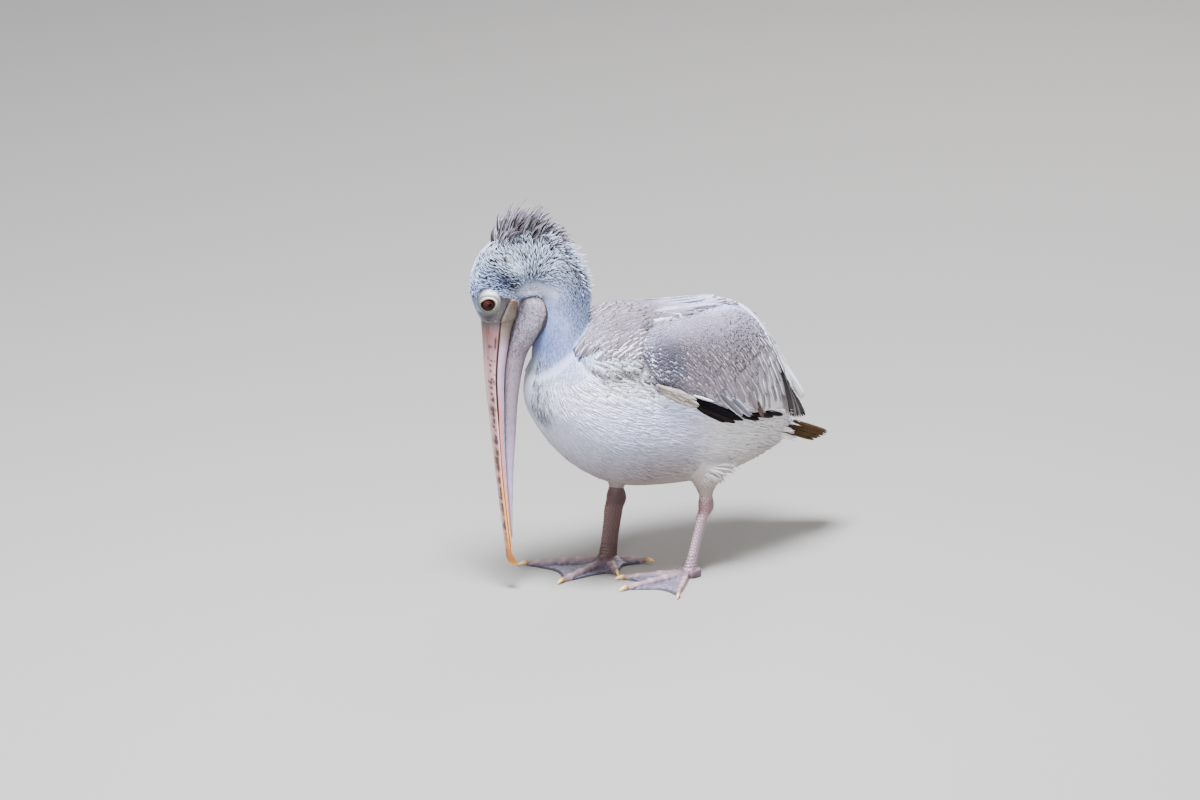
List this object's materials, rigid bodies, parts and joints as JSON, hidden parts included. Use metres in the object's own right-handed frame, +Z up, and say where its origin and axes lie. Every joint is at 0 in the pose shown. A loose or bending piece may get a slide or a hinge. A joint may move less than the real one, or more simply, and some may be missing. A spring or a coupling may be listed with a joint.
{
  "type": "standing pelican",
  "caption": "Life-size grey and white pelican standing on webbed feet, its head bowed so that the long pouched bill hangs in front of its breast.",
  "frame": {"origin": "on the floor, below the middle of the bird's bounding box", "axes": "+Z up; the body and breast face -Y; the bird's left side is +X; the head is turned 20 degrees to its right"},
  "size_m": [0.2394, 0.5311, 0.5217],
  "materials": {
    "white_feathers": "soft, matt",
    "grey_feathers": "soft, matt",
    "silver_feathers": "soft, matt",
    "brown_feathers": "stiff, satin",
    "black_feathers": "stiff, satin",
    "bill_horn": "smooth, satin",
    "yellow_horn": "smooth, satin",
    "bare_skin": "wrinkled, satin",
    "eye": "wet gloss"
  },
  "bodies": {
    "root": {"bill_lower": "bill_horn", "bill_nail": "yellow_horn", "bill_upper": "bill_horn", "claw_left_hind": "yellow_horn", "claw_left_inner": "yellow_horn", "claw_left_middle": "yellow_horn", "claw_left_outer": "yellow_horn", "claw_right_hind": "yellow_horn", "claw_right_inner": "yellow_horn", "claw_right_middle": "yellow_horn", "claw_right_outer": "yellow_horn", "crest": "grey_feathers", "eye_left": "eye", "eye_right": "eye", "foot_left": "bare_skin", "foot_right": "bare_skin", "head": "grey_feathers", "hock_left": "bare_skin", "hock_right": "bare_skin", "mantle": "silver_feathers", "neck_lower": "grey_feathers", "neck_upper": "grey_feathers", "pouch": "bare_skin", "tail": "brown_feathers", "tarsus_left": "bare_skin", "tarsus_right": "bare_skin", "thigh_left": "white_feathers", "thigh_right": "white_feathers", "trunk": "white_feathers", "wing_left_alula": "black_feathers", "wing_left_coverts": "silver_feathers", "wing_left_primaries": "black_feathers", "wing_left_secondaries": "silver_feathers", "wing_left_tertials": "white_feathers", "wing_right_alula": "black_feathers", "wing_right_coverts": "silver_feathers", "wing_right_primaries": "black_feathers", "wing_right_secondaries": "silver_feathers", "wing_right_tertials": "white_feathers"}
  },
  "joints": []
}
